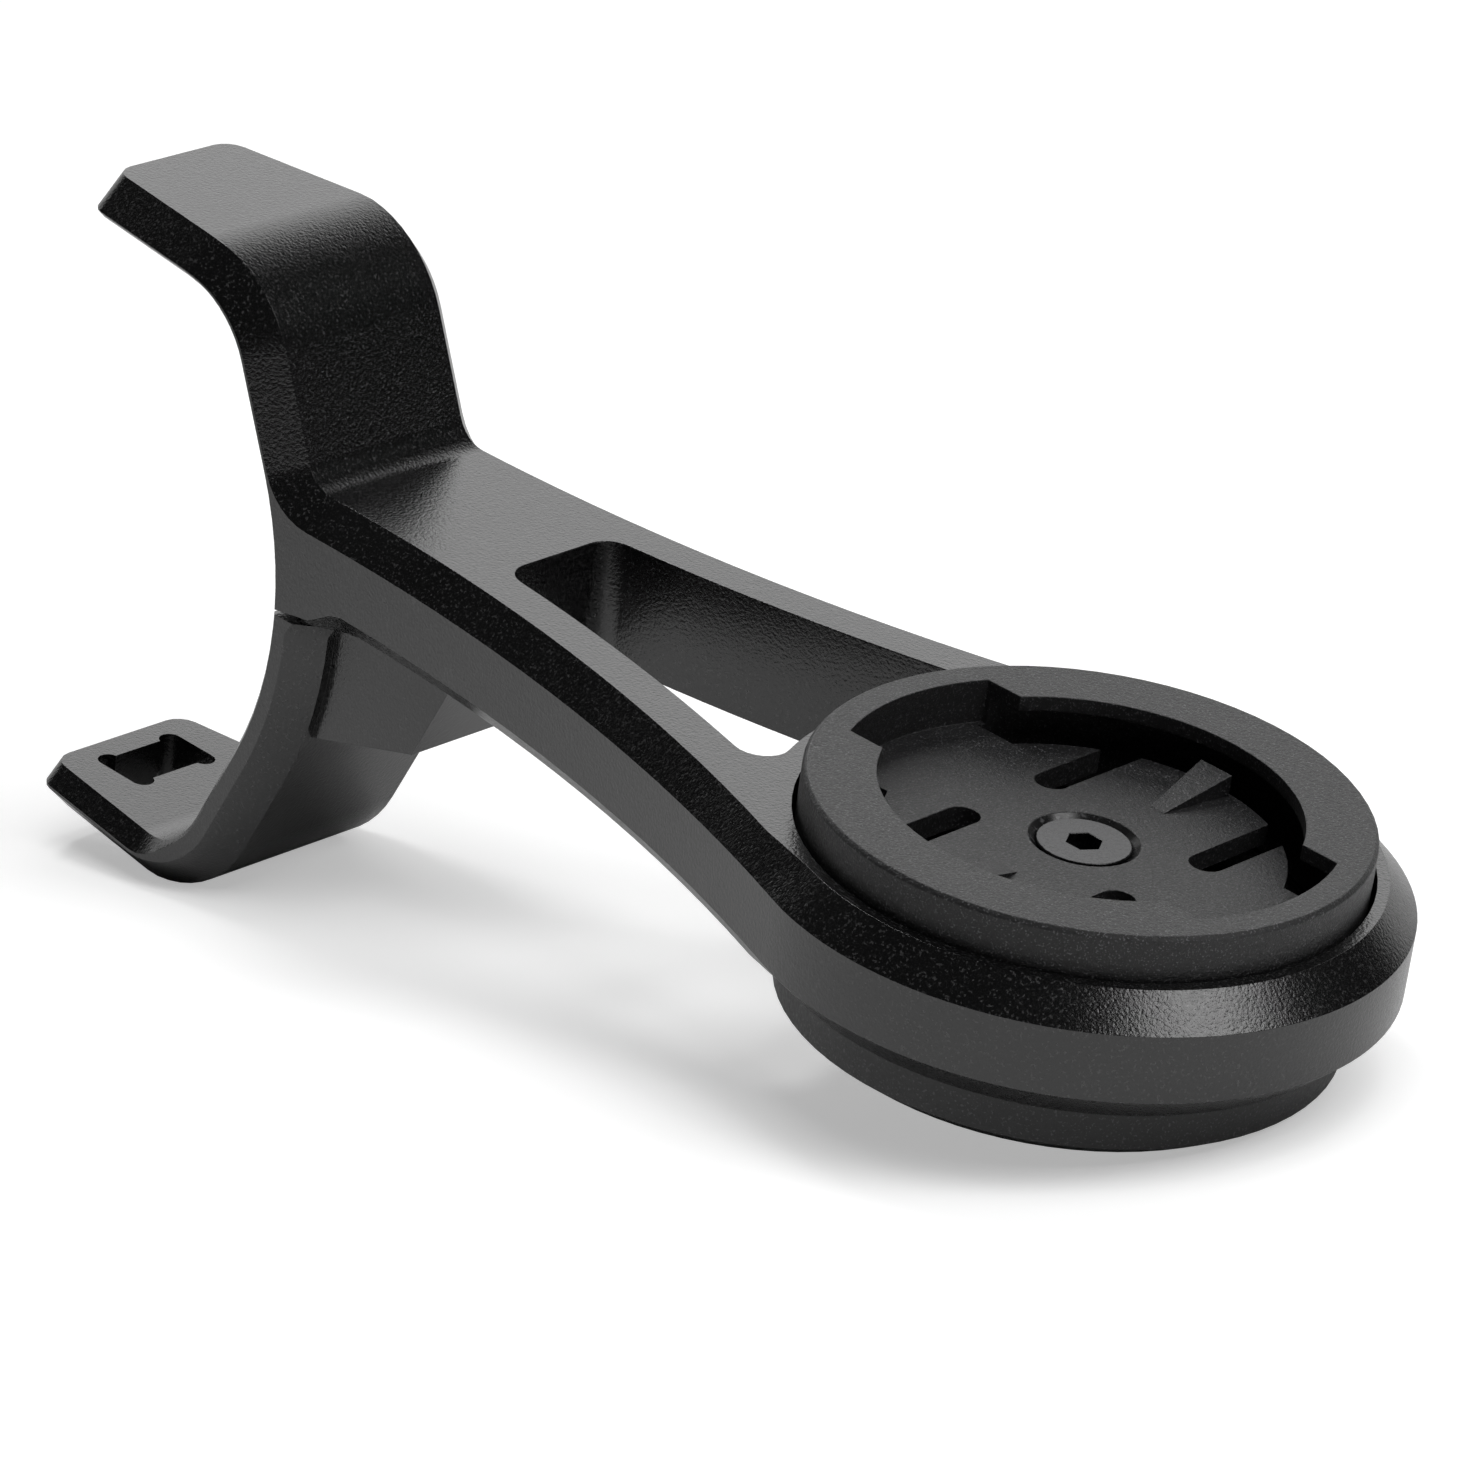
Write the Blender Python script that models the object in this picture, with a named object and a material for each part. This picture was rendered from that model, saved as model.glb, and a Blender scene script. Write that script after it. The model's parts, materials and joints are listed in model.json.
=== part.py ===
"""Out-front mount for a cycling computer: a machined arm that hugs the front of a stem, a lower clamp,
a quarter-turn puck with two springy detent tongues, and the screws, pins, nut and cap that hold it together.

Sizes are in millimetres in the constants and become metres when a mesh is made. The parts are drawn with the
puck's axis along Z and the puck's top face at Z = 0; +X points from the stem to the puck. At the end the whole
mount is tipped onto the surface it rests on, with the origin under the middle of its box.
"""

import math

import bmesh
import bpy
from mathutils import Matrix, Vector

MM = 0.001

# ---- running and parting clearances ----
GAP = 0.3
PARTING_GAP = 0.3

# ---- quarter-turn puck ----
PUCK_R = 17.35
PUCK_HEIGHT = 7.1
PUCK_WALL = 2.05
PUCK_EDGE_BREAK = 0.25
SOCKET_DEPTH = 2.9
LIP_REACH = 2.4
LIP_THICKNESS = 1.0
WIDE_HALF_WIDTH = 6.25
FLOOR_INSET = 0.6
FLOOR_THICKNESS = 1.6
RELIEF_HALF_WIDTH = 5.7
RELIEF_INSET = 0.3
HOLLOW_INSET = 0.7
TONGUE_SLOT_X = 6.2
TONGUE_SLOT_WIDTH = 2.2
TONGUE_SLOT_END_Y = 3.0
TONGUE_THICKNESS = 1.3
RAMP_START_Y = 6.7
RAMP_START_WIDTH = 1.1
RAMP_END_WIDTH = 2.5
RAMP_END_INSET = 0.3
RAMP_HEIGHT = 1.4
KEY_HALF_WIDTH = 2.4
KEY_HALF_LENGTH = 9.0
KEY_DEPTH = 0.9
KEY_BAR_MARGIN = 0.4

# ---- centre screw, nut and cap ----
CENTRE_SCREW_R = 1.5
CENTRE_HEAD_R = 2.9
CENTRE_HEAD_HEIGHT = 1.5
CENTRE_HEAD_SINK = 0.15
CENTRE_SOCKET_ACROSS = 2.0
CENTRE_SOCKET_DEPTH = 1.2
SINK_MARGIN = 0.55
PUCK_BOSS_WALL = 0.85
NUT_ACROSS = 5.5
NUT_HEIGHT = 2.3
CAP_INSET = 3.0
CAP_HEIGHT = 3.7
CAP_BEVEL_WIDTH = 1.6
CAP_BEVEL_HEIGHT = 1.1
CAP_SPIGOT_R = 4.2
SPIGOT_BELOW_PUCK = 2.0

# ---- arm and its round head ----
HEAD_WALL = 3.05
PUCK_STANDS_OUT = 2.8
ARM_DEPTH = 8.4
UPPER_WALL = 2.5
EDGE_CHAMFER = 2.0
EDGE_BREAK = 0.3
CHAMFER_RUNOUT = 4.0
ROOT_FILLET_R = 2.5
FLARE_START_AHEAD = 1.05

# ---- C-shaped throat that takes the stem ----
THROAT_FRONT_X = -61.05
THROAT_MID_BELOW = 1.25
THROAT_HALF_HEIGHT = 20.35
THROAT_ARC_R = 24.0
THROAT_LEAN = math.radians(25.0)
THROAT_BEND_R = 6.5
EAR_REACH = 22.15
EAR_TAPER_LENGTH = 11.7
EAR_REAR_HALF_WIDTH = 7.0
EAR_CORNER_R = 1.3
UPPER_EAR_INNER_CHAMFER = 0.4
LOWER_EAR_INNER_CHAMFER = 1.2
STRAP_HALF_WIDTH = 8.8

# ---- window between the legs ----
WINDOW_REAR_AHEAD = 16.15
LEG_WIDTH = 4.9
WINDOW_HEAD_MARGIN = 1.2
WINDOW_CORNER_R = 1.8

# ---- lower clamp ----
LOWER_WALL = 3.4
PARTING_FLARE = 0.6
BOSS_HALF_WIDTH = 6.2
BOSS_AHEAD = 14.15
BOSS_SLOPE = 2.8
BOSS_FRONT_DEPTH = 6.1
BOSS_REAR_DEPTH = 9.2
SLOT_FROM_REAR = 4.0
SLOT_LENGTH = 3.8
SLOT_HALF_WIDTH = 3.6
SLOT_RELIEF_R = 0.8

# ---- fasteners of the clamp ----
CLAMP_SCREW_AHEAD = 6.85
CLAMP_SCREW_R = 2.0
CLAMP_HEAD_R = 3.5
CLAMP_HEAD_HEIGHT = 3.2
CLAMP_SOCKET_ACROSS = 3.0
CLAMP_SOCKET_DEPTH = 2.0
CLAMP_SEAT_DEPTH = 2.4
CLAMP_THREAD_DEPTH = 6.0
WASHER_THICKNESS = 0.5
WASHER_MARGIN = 0.1
PIN_R = 1.0
PIN_SPACING_Y = 10.0
PIN_AHEAD = 2.0
PIN_IN_ARM = 3.5
PIN_IN_CLAMP = 3.0

# ---- smoothness ----
RING_STEPS = 72
SMALL_STEPS = 32
BEND_STEPS = 10
CORNER_STEPS = 4

# ---- sizes and places that follow from those above ----
WIDE_R = PUCK_R - PUCK_WALL
NARROW_R = WIDE_R - LIP_REACH
FLOOR_R = NARROW_R - FLOOR_INSET
RELIEF_R = WIDE_R - RELIEF_INSET
HOLLOW_R = WIDE_R - HOLLOW_INSET
RAMP_END_Y = FLOOR_R - RAMP_END_INSET
FLOOR_Z = -SOCKET_DEPTH
PUCK_BOTTOM_Z = -PUCK_HEIGHT
POCKET_R = PUCK_R + GAP
POCKET_Z = PUCK_BOTTOM_Z - GAP
HEAD_R = PUCK_R + HEAD_WALL
ARM_TOP_Z = -PUCK_STANDS_OUT
ARM_BOTTOM_Z = ARM_TOP_Z - ARM_DEPTH
CAP_R = HEAD_R - CAP_INSET
CAP_BOTTOM_R = CAP_R - CAP_BEVEL_WIDTH
CAP_TOP_Z = ARM_BOTTOM_Z - GAP
CAP_BOTTOM_Z = CAP_TOP_Z - CAP_HEIGHT
TONGUE_HALF_WIDTH = TONGUE_SLOT_X - TONGUE_SLOT_WIDTH / 2
SINK_R = CENTRE_HEAD_R + SINK_MARGIN
PUCK_BOSS_R = SINK_R + PUCK_BOSS_WALL
CENTRE_HEAD_Z = FLOOR_Z - CENTRE_HEAD_SINK
CENTRE_TIP_Z = CAP_BOTTOM_Z + 2 * GAP
THROAT_MID_Z = ARM_BOTTOM_Z - THROAT_MID_BELOW
EAR_REAR_X = THROAT_FRONT_X - EAR_REACH
EAR_TAPER_END_X = EAR_REAR_X + EAR_TAPER_LENGTH
FLARE_START_X = THROAT_FRONT_X + FLARE_START_AHEAD
WINDOW_REAR_X = THROAT_FRONT_X + WINDOW_REAR_AHEAD
WINDOW_HEAD_WALL_R = HEAD_R - WINDOW_HEAD_MARGIN
CLAMP_TOP_Z = ARM_BOTTOM_Z - PARTING_GAP
CLAMP_SEAT_Z = CLAMP_TOP_Z - CLAMP_SEAT_DEPTH
BOSS_REAR_X = FLARE_START_X
BOSS_FRONT_X = THROAT_FRONT_X + BOSS_AHEAD
BOSS_FRONT_LOW_X = BOSS_FRONT_X - BOSS_SLOPE
SLOT_CENTRE_X = EAR_REAR_X + SLOT_FROM_REAR
CLAMP_SCREW_X = THROAT_FRONT_X + CLAMP_SCREW_AHEAD
PIN_X = THROAT_FRONT_X + PIN_AHEAD
WASHER_R = CLAMP_HEAD_R + WASHER_MARGIN


# ---------------------------------------------------------------- plane geometry of the profiles

def throat_centre(side):
    """Centre of the small bend beside an ear; side is +1 for the upper ear and -1 for the lower one."""
    bend_z = THROAT_HALF_HEIGHT - THROAT_BEND_R
    arc_z = THROAT_ARC_R * math.sin(THROAT_LEAN)
    straight = (bend_z - arc_z + THROAT_BEND_R * math.sin(THROAT_LEAN)) / math.cos(THROAT_LEAN)
    x = (THROAT_FRONT_X - THROAT_ARC_R * (1 - math.cos(THROAT_LEAN))
         - straight * math.sin(THROAT_LEAN) - THROAT_BEND_R * math.cos(THROAT_LEAN))
    return Vector((x, THROAT_MID_Z + side * bend_z))


def throat_path(side):
    """The C's wall from an ear's rear end to the middle of the C: points and the direction into the metal."""
    bend = throat_centre(side)
    ear_z = bend.y + side * THROAT_BEND_R
    points = []
    for step in range(CORNER_STEPS):
        inset = EAR_CORNER_R * (1 - math.cos(math.pi / 2 * step / CORNER_STEPS))
        points.append((Vector((EAR_REAR_X + inset, ear_z)), Vector((0.0, side))))
    for x in (EAR_REAR_X + EAR_CORNER_R, (EAR_REAR_X + EAR_TAPER_END_X) / 2, EAR_TAPER_END_X - 2.0):
        points.append((Vector((x, ear_z)), Vector((0.0, side))))
    turn = math.pi / 2 - THROAT_LEAN
    for step in range(BEND_STEPS + 1):
        angle = math.pi / 2 - turn * step / BEND_STEPS
        out = Vector((math.cos(angle), side * math.sin(angle)))
        points.append((bend + out * THROAT_BEND_R, out))
    arc = Vector((THROAT_FRONT_X - THROAT_ARC_R, THROAT_MID_Z))
    for step in range(7):
        angle = THROAT_LEAN * (1 - step / 6)
        out = Vector((math.cos(angle), side * math.sin(angle)))
        points.append((arc + out * THROAT_ARC_R, out))
    return points


def fading_chamfer(full, index):
    """Width of the chamfer on the throat's edge: full along the ear, dying away round the bend."""
    into_bend = index - (CORNER_STEPS + 3)
    share = min(max(1 - into_bend / (BEND_STEPS * 0.6), 0.0), 1.0)
    return EDGE_BREAK + (full - EDGE_BREAK) * (0.5 - 0.5 * math.cos(math.pi * share))


def throat_x(z):
    """The C's wall at a height within its large arc."""
    return THROAT_FRONT_X - THROAT_ARC_R + math.sqrt(THROAT_ARC_R ** 2 - (z - THROAT_MID_Z) ** 2)


def flare_radius():
    """Radius of the arm's side that leaves the strap's straight side and meets the head's circle tangentially."""
    a = FLARE_START_X ** 2 + STRAP_HALF_WIDTH ** 2 - HEAD_R ** 2
    return a / (2 * (HEAD_R - STRAP_HALF_WIDTH))


def flare_end_x():
    radius = flare_radius()
    return FLARE_START_X * HEAD_R / (radius + HEAD_R)


def half_width(x):
    """Half of the mount's width at a place along it, as far as the head's circle."""
    if x < EAR_TAPER_END_X:
        share = (EAR_TAPER_END_X - x) / (EAR_TAPER_END_X - EAR_REAR_X)
        into_corner = max(EAR_CORNER_R - (x - EAR_REAR_X), 0.0)
        rounding = EAR_CORNER_R - math.sqrt(max(EAR_CORNER_R ** 2 - into_corner ** 2, 0.0))
        return STRAP_HALF_WIDTH + (EAR_REAR_HALF_WIDTH - STRAP_HALF_WIDTH) * share - rounding
    if x <= FLARE_START_X:
        return STRAP_HALF_WIDTH
    radius = flare_radius()
    if x < flare_end_x():
        return STRAP_HALF_WIDTH + radius - math.sqrt(radius ** 2 - (x - FLARE_START_X) ** 2)
    return math.sqrt(max(HEAD_R ** 2 - x ** 2, 0.0))


def outline_normal(x):
    """Outward direction of the outline on the +Y side, in X and Y."""
    if x < EAR_TAPER_END_X:
        rise = (STRAP_HALF_WIDTH - EAR_REAR_HALF_WIDTH) / (EAR_TAPER_END_X - EAR_REAR_X)
        return Vector((-rise, 1.0)).normalized()
    if x <= FLARE_START_X:
        return Vector((0.0, 1.0))
    if x < flare_end_x():
        return Vector((FLARE_START_X - x, half_width(x) - STRAP_HALF_WIDTH - flare_radius())).normalized() * -1.0
    return Vector((x, half_width(x))).normalized()


# ---------------------------------------------------------------- mesh helpers

def clear_scene():
    for obj in list(bpy.data.objects):
        bpy.data.objects.remove(obj, do_unlink=True)


def material(name, colour, roughness, metallic):
    mat = bpy.data.materials.new(name)
    mat.use_nodes = True
    shader = mat.node_tree.nodes["Principled BSDF"]
    shader.inputs["Base Color"].default_value = (*colour, 1.0)
    shader.inputs["Roughness"].default_value = roughness
    shader.inputs["Metallic"].default_value = metallic
    return mat


def new_object(name, bm, mat=None, parent=None, origin=(0.0, 0.0, 0.0), sharp=30.0):
    """Makes an object of a bmesh drawn in millimetres; origin is where its own origin goes, in the same space."""
    bmesh.ops.remove_doubles(bm, verts=bm.verts, dist=0.001)
    bmesh.ops.dissolve_degenerate(bm, edges=bm.edges, dist=0.001)
    bmesh.ops.recalc_face_normals(bm, faces=bm.faces)
    mesh = bpy.data.meshes.new(name)
    shift = Matrix.Translation(Vector(origin) * -1.0)
    bm.transform(Matrix.Scale(MM, 4) @ shift)
    bm.to_mesh(mesh)
    bm.free()
    mesh.shade_smooth()
    mesh.set_sharp_from_angle(angle=math.radians(sharp))
    obj = bpy.data.objects.new(name, mesh)
    obj.location = Vector(origin) * MM
    bpy.context.scene.collection.objects.link(obj)
    if mat:
        mesh.materials.append(mat)
    if parent:
        obj.parent = parent
    return obj


def boolean(target, cutter_bm, name, operation="DIFFERENCE", solver="EXACT"):
    """Cuts, joins or crosses an object with a shape drawn in millimetres about the same origin."""
    cutter = new_object(name, cutter_bm, origin=tuple(target.location / MM))
    cutter.parent = target.parent
    cutter.hide_render = True
    cutter.display_type = "WIRE"
    change = target.modifiers.new(name, "BOOLEAN")
    change.operation = operation
    change.solver = solver
    change.object = cutter
    return change


def prism(outline, low, high):
    """An upright prism from an outline of X, Y points."""
    bm = bmesh.new()
    base = bm.faces.new([bm.verts.new((p[0], p[1], low)) for p in outline])
    result = bmesh.ops.extrude_face_region(bm, geom=[base])
    top = [item for item in result["geom"] if isinstance(item, bmesh.types.BMVert)]
    bmesh.ops.translate(bm, verts=top, vec=(0.0, 0.0, high - low))
    return bm


def side_prism(outline, half):
    """A prism across the mount from an outline of X, Z points, from -half to +half in Y."""
    bm = bmesh.new()
    base = bm.faces.new([bm.verts.new((p[0], -half, p[1])) for p in outline])
    result = bmesh.ops.extrude_face_region(bm, geom=[base])
    far = [item for item in result["geom"] if isinstance(item, bmesh.types.BMVert)]
    bmesh.ops.translate(bm, verts=far, vec=(0.0, 2 * half, 0.0))
    return bm


def turned(profile, steps=SMALL_STEPS, centre=(0.0, 0.0)):
    """A solid turned about an upright axis from radius, height points that start and end on the axis."""
    bm = bmesh.new()
    chain = [bm.verts.new((radius, 0.0, height)) for radius, height in profile]
    edges = [bm.edges.new(pair) for pair in zip(chain[:-1], chain[1:])]
    bmesh.ops.spin(bm, geom=chain + edges, cent=(0, 0, 0), axis=(0, 0, 1), angle=2 * math.pi,
                   steps=steps, use_merge=True)
    bmesh.ops.remove_doubles(bm, verts=bm.verts, dist=0.0005)
    bmesh.ops.recalc_face_normals(bm, faces=bm.faces)
    bmesh.ops.translate(bm, verts=bm.verts, vec=(centre[0], centre[1], 0.0))
    return bm


def rod(radius, low, high, centre=(0.0, 0.0), steps=SMALL_STEPS):
    return turned([(0, high), (radius, high), (radius, low), (0, low)], steps, centre)


def hexagon(across, low, high, centre=(0.0, 0.0)):
    radius = across / math.sqrt(3)
    points = [(centre[0] + radius * math.cos(k * math.pi / 3), centre[1] + radius * math.sin(k * math.pi / 3))
              for k in range(6)]
    return prism(points, low, high)


def arc_points(radius, start, end, steps):
    return [(radius * math.cos(start + (end - start) * k / steps),
             radius * math.sin(start + (end - start) * k / steps)) for k in range(steps + 1)]


# ---------------------------------------------------------------- lofted strap of the arm and of the clamp

def loft(stations):
    """Joins eight-sided sections, each four points of the +Y side that are mirrored to the -Y side."""
    bm = bmesh.new()
    rings = []
    for section in stations:
        right = [bm.verts.new(point) for point in section]
        left = [bm.verts.new((point[0], -point[1], point[2])) for point in reversed(section)]
        rings.append(right + left)
    for one, two in zip(rings[:-1], rings[1:]):
        for k in range(8):
            corners = [one[k], one[(k + 1) % 8], two[(k + 1) % 8], two[k]]
            bm.faces.new(corners)
    bm.faces.new(rings[0])
    if (rings[-1][0].co - rings[-1][7].co).length > 0.01:
        bm.faces.new(rings[-1])
    return bm


def strap_section(outer, outward, inner, inward, chamfer, inner_chamfer):
    """Section of the strap: outer and inner are X, Z points of the two faces, with the directions they face."""
    shoulder = outer - outward * chamfer
    heel = inner - inward * inner_chamfer
    return [
        (outer.x, half_width(outer.x) - chamfer, outer.y),
        (shoulder.x, half_width(shoulder.x), shoulder.y),
        (heel.x, half_width(heel.x), heel.y),
        (inner.x, half_width(inner.x) - inner_chamfer, inner.y),
    ]


def plan_section(x, lower_chamfer):
    """Section of the arm and head, whose faces are level: the chamfers follow the outline's own direction."""
    normal = outline_normal(x)
    edge = Vector((x, half_width(x)))
    top = edge - normal * EDGE_CHAMFER
    bottom = edge - normal * lower_chamfer
    return [
        (top.x, top.y, ARM_TOP_Z),
        (edge.x, edge.y, ARM_TOP_Z - EDGE_CHAMFER),
        (edge.x, edge.y, ARM_BOTTOM_Z + lower_chamfer),
        (bottom.x, bottom.y, ARM_BOTTOM_Z),
    ]


def web_line_x(z):
    """The front face of the web, which is parallel to the leaning stretch of the C's wall."""
    bend = throat_centre(1)
    reach = THROAT_BEND_R + UPPER_WALL
    return bend.x + (reach - (z - bend.y) * math.sin(THROAT_LEAN)) / math.cos(THROAT_LEAN)


def root_fillet():
    """Points and facing directions of the hollow fillet between the web and the arm's top."""
    corner = Vector((web_line_x(ARM_TOP_Z), ARM_TOP_Z))
    turn = math.pi / 2 - THROAT_LEAN
    centre = corner + Vector((ROOT_FILLET_R * math.tan(turn / 2), ROOT_FILLET_R))
    points = []
    for step in range(7):
        angle = math.pi + THROAT_LEAN + turn * step / 6
        spoke = Vector((math.cos(angle), math.sin(angle)))
        points.append((centre + spoke * ROOT_FILLET_R, spoke * -1.0))
    return points


def arm_stations():
    path = throat_path(1)
    bend_end = CORNER_STEPS + 3 + BEND_STEPS
    stations = []
    for index, (inner, out) in enumerate(path[:bend_end + 1]):
        inner_chamfer = fading_chamfer(UPPER_EAR_INNER_CHAMFER, index)
        outer = inner + out * UPPER_WALL
        stations.append(strap_section(outer, out, inner, out * -1.0, EDGE_CHAMFER, inner_chamfer))
    fillet = root_fillet()
    web_top = path[bend_end + 1][0].y
    heights = [ARM_BOTTOM_Z + (web_top - ARM_BOTTOM_Z) * (1 - k / 6) for k in range(7)]
    for (outer, out), height in zip(fillet, heights):
        slope = math.asin((height - THROAT_MID_Z) / THROAT_ARC_R)
        inner = Vector((throat_x(height), height))
        away = Vector((-math.cos(slope), -math.sin(slope)))
        stations.append(strap_section(outer, out, inner, away, EDGE_CHAMFER, EDGE_BREAK))
    root_x = fillet[-1][0].x
    for k in range(1, 5):
        x = root_x + CHAMFER_RUNOUT * k / 4
        run = 0.5 - 0.5 * math.cos(math.pi * k / 4)
        lower = EDGE_BREAK + (EDGE_CHAMFER - EDGE_BREAK) * run
        stations.append(plan_section(x, lower))
    first = root_x + CHAMFER_RUNOUT
    last = flare_end_x()
    for k in range(1, 17):
        stations.append(plan_section(first + (last - first) * k / 16, EDGE_CHAMFER))
    start = math.acos(last / HEAD_R)
    for k in range(1, RING_STEPS // 2):
        angle = start * (1 - k / (RING_STEPS // 2))
        stations.append(plan_section(HEAD_R * math.cos(angle), EDGE_CHAMFER))
    nose = plan_section(HEAD_R, EDGE_CHAMFER)
    stations.append([(point[0], 0.0, point[2]) for point in nose])
    return stations


def arc_between(centre, start, end, steps):
    """Points along the shorter arc about a centre, from one point to another, both included."""
    spoke = Vector(start) - Vector(centre)
    goal = Vector(end) - Vector(centre)
    sweep = -spoke.angle_signed(goal)
    points = []
    for step in range(steps + 1):
        turned_spoke = spoke.copy()
        turned_spoke.rotate(Matrix.Rotation(sweep * step / steps, 2))
        points.append(Vector(centre) + turned_spoke)
    return points


def window_outline():
    """The three-cornered window: legs of even width, an edge that follows the head, and rounded corners."""
    leg_r = flare_radius() + LEG_WIDTH
    leg_centre = Vector((FLARE_START_X, STRAP_HALF_WIDTH + flare_radius()))
    corner_r = WINDOW_CORNER_R
    rear_x = WINDOW_REAR_X + corner_r
    rear = Vector((rear_x, leg_centre.y - math.sqrt((leg_r + corner_r) ** 2 - (rear_x - leg_centre.x) ** 2)))
    apart = leg_centre.length
    along = (apart ** 2 + (WINDOW_HEAD_WALL_R + corner_r) ** 2 - (leg_r + corner_r) ** 2) / (2 * apart)
    across = math.sqrt((WINDOW_HEAD_WALL_R + corner_r) ** 2 - along ** 2)
    toward = leg_centre / apart
    front = toward * along + Vector((-toward.y, toward.x)) * across
    rear_touch = leg_centre + (rear - leg_centre).normalized() * leg_r
    front_touch = leg_centre + (front - leg_centre).normalized() * leg_r
    head_touch = front.normalized() * WINDOW_HEAD_WALL_R
    half = arc_between(rear, (WINDOW_REAR_X, rear.y), rear_touch, 6)
    half += arc_between(leg_centre, rear_touch, front_touch, 10)[1:]
    half += arc_between(front, front_touch, head_touch, 8)[1:]
    half += arc_between((0.0, 0.0), head_touch, (-WINDOW_HEAD_WALL_R, 0.0), 6)[1:]
    return half + [Vector((point.x, -point.y)) for point in reversed(half[:-1])]


# ---------------------------------------------------------------- the pieces

def pin_holes(low, high):
    """Both holes for the locating pins, as one cutter."""
    bm = rod(PIN_R + GAP, low, high, (PIN_X, PIN_SPACING_Y / 2), 20)
    bmesh.ops.mirror(bm, geom=bm.verts[:] + bm.edges[:] + bm.faces[:], axis="Y", merge_dist=0.0)
    return bm


def make_arm(parent, mat):
    arm = new_object("arm_bracket", loft(arm_stations()), mat, parent)
    boolean(arm, prism(window_outline(), ARM_BOTTOM_Z - 5, ARM_TOP_Z + 5), "cut_window")
    boolean(arm, rod(POCKET_R, POCKET_Z, 5.0, steps=RING_STEPS), "cut_pocket")
    boolean(arm, rod(CAP_SPIGOT_R + GAP, ARM_BOTTOM_Z - 5, POCKET_Z + 1), "cut_spigot_bore")
    key = KEY_HALF_LENGTH + GAP
    width = KEY_HALF_WIDTH + GAP
    slot = prism([(-key, -width), (key, -width), (key, width), (-key, width)],
                 PUCK_BOTTOM_Z - KEY_DEPTH - GAP, POCKET_Z + 1)
    boolean(arm, slot, "cut_key_slot")
    top = ARM_BOTTOM_Z + CLAMP_THREAD_DEPTH
    boolean(arm, rod(CLAMP_SCREW_R + GAP, ARM_BOTTOM_Z - 1, top + GAP, (CLAMP_SCREW_X, 0)), "cut_thread")
    boolean(arm, pin_holes(ARM_BOTTOM_Z - 1, ARM_BOTTOM_Z + PIN_IN_ARM + GAP), "cut_pins")
    return arm


def clamp_stations():
    path = throat_path(-1)
    stations = []
    for index, (inner, out) in enumerate(path):
        inner_chamfer = fading_chamfer(LOWER_EAR_INNER_CHAMFER, index)
        outer = inner + out * LOWER_WALL
        stations.append(strap_section(outer, out, inner, out * -1.0, EDGE_CHAMFER, inner_chamfer))
    out = Vector((1.0, 0.0))
    inner = Vector((throat_x(CLAMP_TOP_Z), CLAMP_TOP_Z))
    outer = Vector((inner.x + LOWER_WALL + PARTING_FLARE, CLAMP_TOP_Z))
    stations.append(strap_section(outer, out, inner, out * -1.0, EDGE_CHAMFER, EDGE_BREAK))
    return stations


def slot_cutter():
    """The ear's slot, whose four corners are relieved by round cuts towards the front and the rear."""
    half = SLOT_LENGTH / 2
    inset = SLOT_RELIEF_R / 4
    width = SLOT_HALF_WIDTH - SLOT_RELIEF_R
    reach = math.acos(inset / SLOT_RELIEF_R)
    quarter = [Vector((half - inset + SLOT_RELIEF_R * math.cos(angle), width + SLOT_RELIEF_R * math.sin(angle)))
               for angle in (-reach + (math.pi / 2 + reach) * k / 8 for k in range(9))]
    outline = quarter + [Vector((-p.x, p.y)) for p in reversed(quarter)]
    outline += [Vector((-p.x, -p.y)) for p in quarter] + [Vector((p.x, -p.y)) for p in reversed(quarter)]
    ear_top = THROAT_MID_Z - THROAT_HALF_HEIGHT
    return prism([(p.x + SLOT_CENTRE_X, p.y) for p in outline], ear_top - LOWER_WALL - 3, ear_top + 3)


def make_lower_clamp(parent, mat):
    clamp = new_object("lower_clamp", loft(clamp_stations()), mat, parent)
    boss = side_prism([(BOSS_REAR_X, CLAMP_TOP_Z - 0.01), (BOSS_FRONT_X, CLAMP_TOP_Z - 0.01),
                       (BOSS_FRONT_LOW_X, CLAMP_TOP_Z - BOSS_FRONT_DEPTH),
                       (BOSS_REAR_X, CLAMP_TOP_Z - BOSS_REAR_DEPTH)], BOSS_HALF_WIDTH)
    boolean(clamp, boss, "join_boss", "UNION")
    low = CLAMP_TOP_Z - BOSS_REAR_DEPTH - 4
    hole = CLAMP_SCREW_R + GAP
    seat = WASHER_R + GAP
    stepped = [(0, CLAMP_TOP_Z + 1), (hole, CLAMP_TOP_Z + 1), (hole, CLAMP_SEAT_Z), (seat, CLAMP_SEAT_Z),
               (seat, low), (0, low)]
    boolean(clamp, turned(stepped, SMALL_STEPS, (CLAMP_SCREW_X, 0)), "cut_screw_hole")
    boolean(clamp, pin_holes(CLAMP_TOP_Z - PIN_IN_CLAMP - GAP, CLAMP_TOP_Z + 1), "cut_pin_seats")
    boolean(clamp, slot_cutter(), "cut_ear_slot")
    return clamp


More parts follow.
